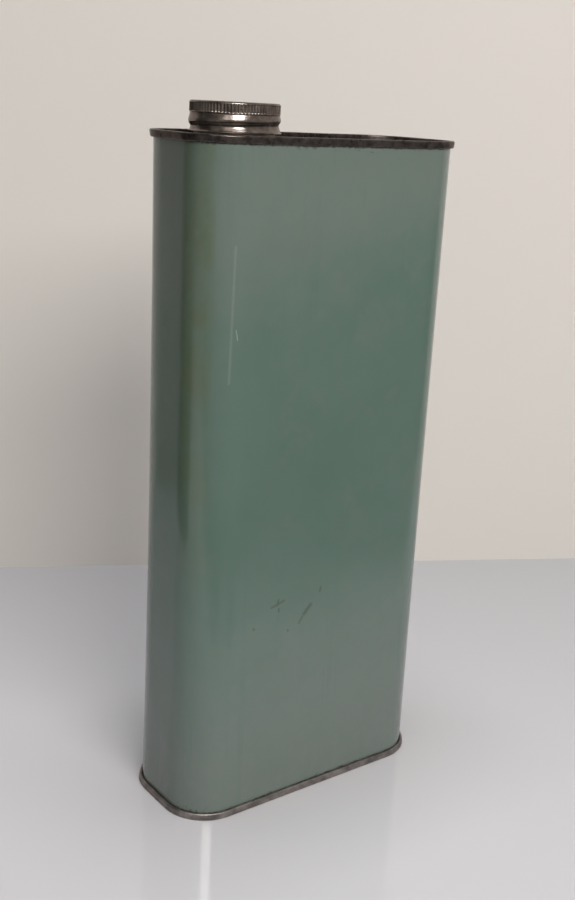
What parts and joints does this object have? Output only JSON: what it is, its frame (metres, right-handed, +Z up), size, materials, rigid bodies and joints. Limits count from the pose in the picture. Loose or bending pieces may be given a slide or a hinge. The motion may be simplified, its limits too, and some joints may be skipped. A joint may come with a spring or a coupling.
{
  "type": "oblong screw-cap metal can",
  "caption": "Flat oblong metal can with rounded corners, double-seamed ends, and a knurled screw cap on a threaded neck near one end.",
  "frame": {"origin": "centre of the base, on the plane that the can stands on", "axes": "+Z up through the can, X along the broad sides with the neck and cap at the -X end, Y through the can's depth"},
  "size_m": [0.141, 0.0616, 0.3172],
  "materials": {
    "enamelled_tinplate": "satin",
    "bare_tinplate": "aged satin",
    "cap_tinplate": "aged semi-gloss",
    "solder": "dull",
    "compound": "matt",
    "cork": "matt",
    "tin_foil": "satin"
  },
  "bodies": {
    "can": {"body_shell": "enamelled_tinplate", "side_seam_solder": "solder", "top_end": "bare_tinplate", "bottom_end": "bare_tinplate", "top_seam_compound": "compound", "bottom_seam_compound": "compound", "screw_neck": "bare_tinplate", "neck_solder": "solder"},
    "cap_liner": {"cap_wad": "cork", "wad_facing": "tin_foil"},
    "cap": {"cap_shell": "cap_tinplate"}
  },
  "joints": [
    {"name": "cap_rise", "type": "slide", "parent": "can", "child": "cap_liner", "axis": [0, 0, 1], "range_m": [0, 0.0254]},
    {"name": "cap_turn", "type": "hinge", "parent": "cap_liner", "child": "cap", "pos_m": [-0.0388, 0, 0.311], "axis": [0, 0, 1], "range_deg": [0, 2880]}
  ],
  "couplings": [
    {"joint": "cap_rise", "follows": "cap_turn", "m_per_rad": 0.00050532}
  ]
}
